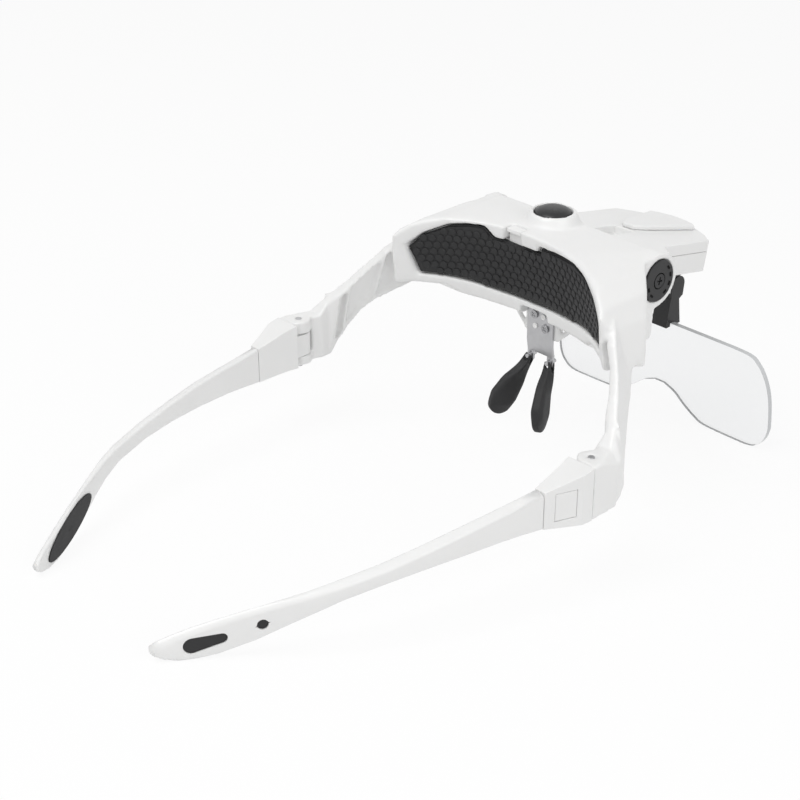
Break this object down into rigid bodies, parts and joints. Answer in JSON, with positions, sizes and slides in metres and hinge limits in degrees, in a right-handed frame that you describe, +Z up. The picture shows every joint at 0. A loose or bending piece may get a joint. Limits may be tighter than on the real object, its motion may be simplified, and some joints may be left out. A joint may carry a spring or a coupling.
{
  "type": "headband magnifier",
  "caption": "Lighted headband magnifier: a hollow brow frame with a padded forehead, a tilting lamp, a wide lens on a jointed arm, nose pads and folding temples.",
  "frame": {"origin": "centre of the bounding box at table height, where the lens and both temple tips rest", "axes": "+X is the wearer's left, +Y runs back along the temples, +Z is up; the magnifier leans 6.4 degrees about X, as it lies on a table"},
  "size_m": [0.162, 0.2938, 0.1016],
  "materials": {
    "white_abs": "satin",
    "black_rubber": "matt",
    "black_plastic": "satin",
    "cell_steel": "printed",
    "spring_steel": "satin",
    "black_steel": "blackened",
    "board_green": "solder mask",
    "led_yellow": "clear resin over phosphor",
    "window_clear": "frosted",
    "lens_clear": "polished",
    "nose_rubber": "satin"
  },
  "bodies": {
    "frame": {"front_frame": "white_abs", "switch_body": "black_plastic", "battery_tray": "black_plastic", "battery_cells": "cell_steel", "battery_contacts": "spring_steel", "nose_bracket": "spring_steel", "bracket_screws": "spring_steel", "nose_pins": "spring_steel", "hinge_pins": "spring_steel"},
    "battery_cover": {"pad_carrier": "white_abs", "forehead_pad": "black_rubber"},
    "power_button": {"power_button": "black_rubber"},
    "lamp": {"lamp_shell_lower": "white_abs", "lamp_shell_upper": "white_abs", "lamp_cover": "white_abs", "led_board": "board_green", "leds": "led_yellow", "led_windows": "window_clear", "hub_caps": "black_plastic", "hub_screws": "black_steel", "hub_bushes": "spring_steel", "arm_pin": "spring_steel"},
    "lens_arm": {"lens_arm": "black_plastic"},
    "lens_clip": {"lens_clip": "black_plastic"},
    "lens": {"lens": "lens_clear"},
    "nose_pad_left": {"nose_pad_left": "nose_rubber"},
    "nose_pad_right": {"nose_pad_right": "nose_rubber"},
    "hinge_left": {"hinge_block_left": "white_abs"},
    "hinge_right": {"hinge_block_right": "white_abs"},
    "release_left": {"release_button_left": "white_abs"},
    "release_right": {"release_button_right": "white_abs"},
    "temple_left": {"temple_left": "white_abs", "ear_grip_left": "black_rubber"},
    "temple_right": {"temple_right": "white_abs", "ear_grip_right": "black_rubber"}
  },
  "joints": [
    {"name": "lamp_tilt", "type": "hinge", "parent": "frame", "child": "lamp", "pos_m": [0, -0.07164, 0.0848], "axis": [-1, 0, 0], "range_deg": [-20, 40]},
    {"name": "arm_swing", "type": "hinge", "parent": "lamp", "child": "lens_arm", "pos_m": [0, -0.13631, 0.06802], "axis": [1, 0, 0], "range_deg": [-25, 25]},
    {"name": "lens_tilt", "type": "hinge", "parent": "lens_arm", "child": "lens_clip", "pos_m": [0, -0.14106, 0.0572], "axis": [1, 0, 0], "range_deg": [-25, 25]},
    {"name": "lens_pull", "type": "slide", "parent": "lens_clip", "child": "lens", "axis": [0, -0.112, -0.9937], "range_m": [0, 0.012]},
    {"name": "button_press", "type": "slide", "parent": "frame", "child": "power_button", "axis": [0, -0.112, -0.9937], "range_m": [0, 0.0012], "stiffness_N_per_m": 1500, "springref_m": -0.0008},
    {"name": "cover_pull", "type": "slide", "parent": "frame", "child": "battery_cover", "axis": [0, 0.9937, -0.112], "range_m": [0, 0.02]},
    {"name": "nose_pad_left_rock", "type": "hinge", "parent": "frame", "child": "nose_pad_left", "pos_m": [0.005, -0.06183, 0.04143], "axis": [0, 0.9937, -0.112], "range_deg": [-8, 8]},
    {"name": "nose_pad_right_rock", "type": "hinge", "parent": "frame", "child": "nose_pad_right", "pos_m": [-0.005, -0.06183, 0.04143], "axis": [0, 0.9937, -0.112], "range_deg": [-8, 8]},
    {"name": "fold_left", "type": "hinge", "parent": "frame", "child": "hinge_left", "pos_m": [0.075, -0.00319, 0.03583], "axis": [0, 0.112, 0.9937], "range_deg": [0, 88]},
    {"name": "fold_right", "type": "hinge", "parent": "frame", "child": "hinge_right", "pos_m": [-0.075, -0.00319, 0.03583], "axis": [0, -0.112, -0.9937], "range_deg": [0, 70]},
    {"name": "release_left_press", "type": "slide", "parent": "hinge_left", "child": "release_left", "axis": [-1, 0, 0], "range_m": [0, 0.001], "stiffness_N_per_m": 1500, "springref_m": -0.0006},
    {"name": "release_right_press", "type": "slide", "parent": "hinge_right", "child": "release_right", "axis": [1, 0, 0], "range_m": [0, 0.001], "stiffness_N_per_m": 1500, "springref_m": -0.0006},
    {"name": "temple_left_pull", "type": "slide", "parent": "hinge_left", "child": "temple_left", "axis": [0, 0.9937, -0.112], "range_m": [0, 0.012]},
    {"name": "temple_right_pull", "type": "slide", "parent": "hinge_right", "child": "temple_right", "axis": [0, 0.9937, -0.112], "range_m": [0, 0.012]}
  ]
}
